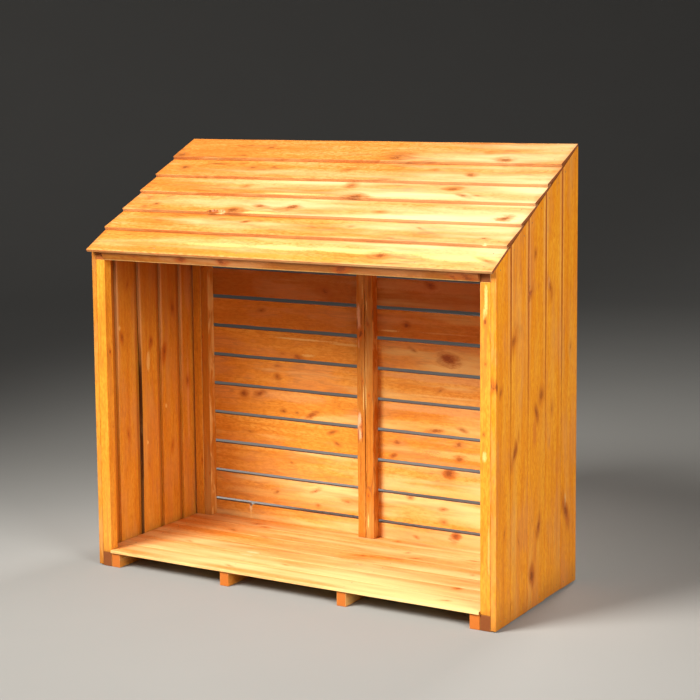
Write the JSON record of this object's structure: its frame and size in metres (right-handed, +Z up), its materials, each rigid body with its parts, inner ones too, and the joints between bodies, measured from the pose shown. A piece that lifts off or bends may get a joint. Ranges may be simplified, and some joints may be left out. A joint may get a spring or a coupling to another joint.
{
  "type": "log store",
  "caption": "Open-fronted timber log store with lapped sloping roof, vertical boarded sides, gapped back boards, raised floor and centre posts.",
  "frame": {"origin": "middle of the footprint (bounding box in X and Y) at floor level, the underside of the bottom rails and bearers", "axes": "+Z up, the open front faces -Y, +X to the right when looking at the back from the front"},
  "size_m": [1.87, 0.7874, 1.7876],
  "materials": {
    "side_cladding": "stained, matt, weathered",
    "back_boards": "stained, matt, weathered",
    "roof_boards": "stained, matt, weathered",
    "floor_boards": "stained, matt, weathered",
    "frame_timber": "stained, matt, weathered"
  },
  "bodies": {
    "root": {"back_batten_left": "frame_timber", "back_batten_right": "frame_timber", "back_board_01": "back_boards", "back_board_02": "back_boards", "back_board_03": "back_boards", "back_board_04": "back_boards", "back_board_05": "back_boards", "back_board_06": "back_boards", "back_board_07": "back_boards", "back_board_08": "back_boards", "back_board_09": "back_boards", "back_board_10": "back_boards", "back_board_11": "back_boards", "back_board_12": "back_boards", "back_board_13": "back_boards", "centre_post_left": "frame_timber", "centre_post_right": "frame_timber", "floor_bearers": "frame_timber", "floor_deck": "floor_boards", "front_header": "frame_timber", "left_bottom_rail": "frame_timber", "left_front_post": "frame_timber", "left_rear_post": "frame_timber", "left_side_board_1": "side_cladding", "left_side_board_2": "side_cladding", "left_side_board_3": "side_cladding", "left_side_board_4": "side_cladding", "left_side_board_5": "side_cladding", "left_top_rail": "frame_timber", "rear_top_rail": "frame_timber", "right_bottom_rail": "frame_timber", "right_front_post": "frame_timber", "right_rear_post": "frame_timber", "right_side_board_1": "side_cladding", "right_side_board_2": "side_cladding", "right_side_board_3": "side_cladding", "right_side_board_4": "side_cladding", "right_side_board_5": "side_cladding", "right_top_rail": "frame_timber", "roof_board_1": "roof_boards", "roof_board_2": "roof_boards", "roof_board_3": "roof_boards", "roof_board_4": "roof_boards", "roof_board_5": "roof_boards", "roof_board_6": "roof_boards"}
  },
  "joints": []
}
